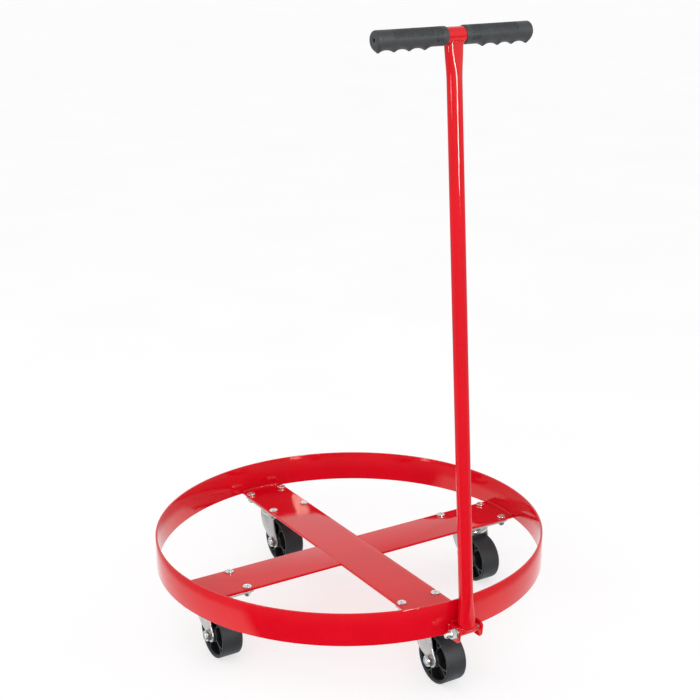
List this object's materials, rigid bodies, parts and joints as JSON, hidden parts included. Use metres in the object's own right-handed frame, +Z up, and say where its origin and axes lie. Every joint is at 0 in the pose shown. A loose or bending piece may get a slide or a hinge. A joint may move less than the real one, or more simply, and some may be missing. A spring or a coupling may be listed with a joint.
{
  "type": "drum dolly",
  "caption": "Ring-shaped drum dolly on a flat-bar cross with swivel castors under the bar ends and a hinged upright T-handle.",
  "frame": {"origin": "centre of the cross's top face, on the ring's axis, where the middle of a drum's base stands", "axes": "+Z up along the ring's axis; the handle's hinge is at -Y and the long bar runs along Y; the castor axles lie along X"},
  "size_m": [0.611, 0.6385, 0.9424],
  "materials": {
    "frame_paint": "gloss red powder coat",
    "castor_zinc": "satin zinc plate on pressed steel",
    "bright_zinc": "bright zinc plate",
    "wheel_plastic": "semi-matte moulded polypropylene",
    "grip_rubber": "matte moulded rubber"
  },
  "bodies": {
    "base": {"ring": "frame_paint", "long_bar": "frame_paint", "side_bar_right": "frame_paint", "side_bar_left": "frame_paint", "hinge_bracket": "frame_paint", "hinge_bolt": "bright_zinc", "hinge_nut_washer": "bright_zinc", "castor_front_top_plate": "castor_zinc", "castor_front_kingpin": "bright_zinc", "castor_front_screw_a": "bright_zinc", "castor_front_screw_b": "bright_zinc", "castor_front_screw_c": "bright_zinc", "castor_front_screw_d": "bright_zinc", "castor_back_top_plate": "castor_zinc", "castor_back_kingpin": "bright_zinc", "castor_back_screw_a": "bright_zinc", "castor_back_screw_b": "bright_zinc", "castor_back_screw_c": "bright_zinc", "castor_back_screw_d": "bright_zinc", "castor_right_top_plate": "castor_zinc", "castor_right_kingpin": "bright_zinc", "castor_right_screw_a": "bright_zinc", "castor_right_screw_b": "bright_zinc", "castor_right_screw_c": "bright_zinc", "castor_right_screw_d": "bright_zinc", "castor_left_top_plate": "castor_zinc", "castor_left_kingpin": "bright_zinc", "castor_left_screw_a": "bright_zinc", "castor_left_screw_b": "bright_zinc", "castor_left_screw_c": "bright_zinc", "castor_left_screw_d": "bright_zinc"},
    "handle": {"handle_sleeve": "frame_paint", "handle_stem": "frame_paint", "handle_cross_tube": "frame_paint", "grip_right": "grip_rubber", "grip_left": "grip_rubber"},
    "castor_front_swivel": {"castor_front_dust_ring": "bright_zinc", "castor_front_fork": "castor_zinc", "castor_front_axle_bolt": "bright_zinc", "castor_front_axle_nut": "bright_zinc", "castor_front_bush": "castor_zinc"},
    "castor_front_roller": {"castor_front_wheel": "wheel_plastic"},
    "castor_back_swivel": {"castor_back_dust_ring": "bright_zinc", "castor_back_fork": "castor_zinc", "castor_back_axle_bolt": "bright_zinc", "castor_back_axle_nut": "bright_zinc", "castor_back_bush": "castor_zinc"},
    "castor_back_roller": {"castor_back_wheel": "wheel_plastic"},
    "castor_right_swivel": {"castor_right_dust_ring": "bright_zinc", "castor_right_fork": "castor_zinc", "castor_right_axle_bolt": "bright_zinc", "castor_right_axle_nut": "bright_zinc", "castor_right_bush": "castor_zinc"},
    "castor_right_roller": {"castor_right_wheel": "wheel_plastic"},
    "castor_left_swivel": {"castor_left_dust_ring": "bright_zinc", "castor_left_fork": "castor_zinc", "castor_left_axle_bolt": "bright_zinc", "castor_left_axle_nut": "bright_zinc", "castor_left_bush": "castor_zinc"},
    "castor_left_roller": {"castor_left_wheel": "wheel_plastic"}
  },
  "joints": [
    {"name": "handle_hinge", "type": "hinge", "parent": "base", "child": "handle", "pos_m": [0, -0.323, 0.0055], "axis": [1, 0, 0], "range_deg": [-6, 100]},
    {"name": "castor_front_turn", "type": "hinge", "parent": "base", "child": "castor_front_swivel", "pos_m": [0, -0.24, -0.0123], "axis": [0, 0, 1], "continuous": true},
    {"name": "castor_front_spin", "type": "hinge", "parent": "castor_front_swivel", "child": "castor_front_roller", "pos_m": [0, -0.262, -0.0665], "axis": [1, 0, 0], "continuous": true},
    {"name": "castor_back_turn", "type": "hinge", "parent": "base", "child": "castor_back_swivel", "pos_m": [0, 0.24, -0.0123], "axis": [0, 0, 1], "continuous": true},
    {"name": "castor_back_spin", "type": "hinge", "parent": "castor_back_swivel", "child": "castor_back_roller", "pos_m": [0, 0.218, -0.0665], "axis": [1, 0, 0], "continuous": true},
    {"name": "castor_right_turn", "type": "hinge", "parent": "base", "child": "castor_right_swivel", "pos_m": [0.24, 0, -0.0123], "axis": [0, 0, 1], "continuous": true},
    {"name": "castor_right_spin", "type": "hinge", "parent": "castor_right_swivel", "child": "castor_right_roller", "pos_m": [0.24, -0.022, -0.0665], "axis": [1, 0, 0], "continuous": true},
    {"name": "castor_left_turn", "type": "hinge", "parent": "base", "child": "castor_left_swivel", "pos_m": [-0.24, 0, -0.0123], "axis": [0, 0, 1], "continuous": true},
    {"name": "castor_left_spin", "type": "hinge", "parent": "castor_left_swivel", "child": "castor_left_roller", "pos_m": [-0.24, -0.022, -0.0665], "axis": [1, 0, 0], "continuous": true}
  ]
}
